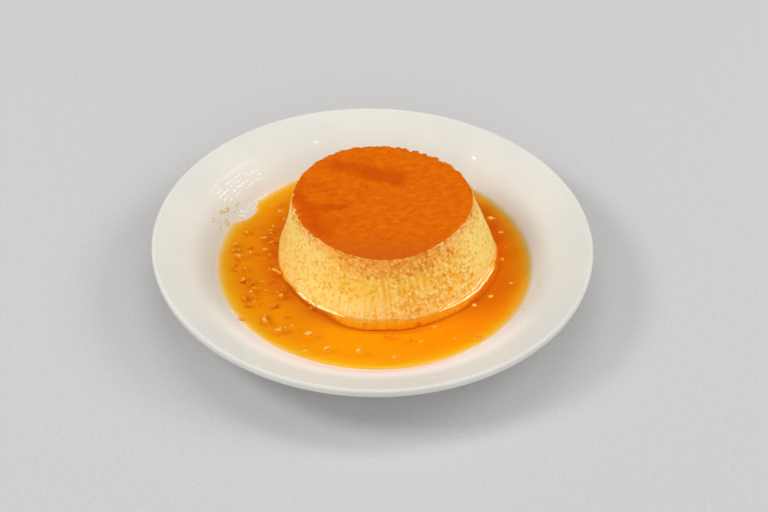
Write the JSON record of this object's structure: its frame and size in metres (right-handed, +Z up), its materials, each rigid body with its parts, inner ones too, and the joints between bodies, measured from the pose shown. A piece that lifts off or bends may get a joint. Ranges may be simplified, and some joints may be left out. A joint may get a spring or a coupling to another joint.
{
  "type": "creme caramel flan on a plate",
  "caption": "Turned-out custard flan, a low cone with a caramel top, standing in a pool of caramel sauce on a round rimmed plate.",
  "frame": {"origin": "centre of the plate's foot, on the table", "axes": "+Z up, -Y towards the front"},
  "size_m": [0.1802, 0.1802, 0.0336],
  "materials": {
    "porcelain": "warm white glaze, glossy",
    "custard": "baked egg custard, moist satin",
    "caramel": "caramel-soaked custard, satin",
    "sauce": "clear amber caramel sauce, glossy"
  },
  "bodies": {
    "root": {"plate": "porcelain", "custard": "custard", "caramel_top": "caramel", "caramel_sauce": "sauce"}
  },
  "joints": []
}
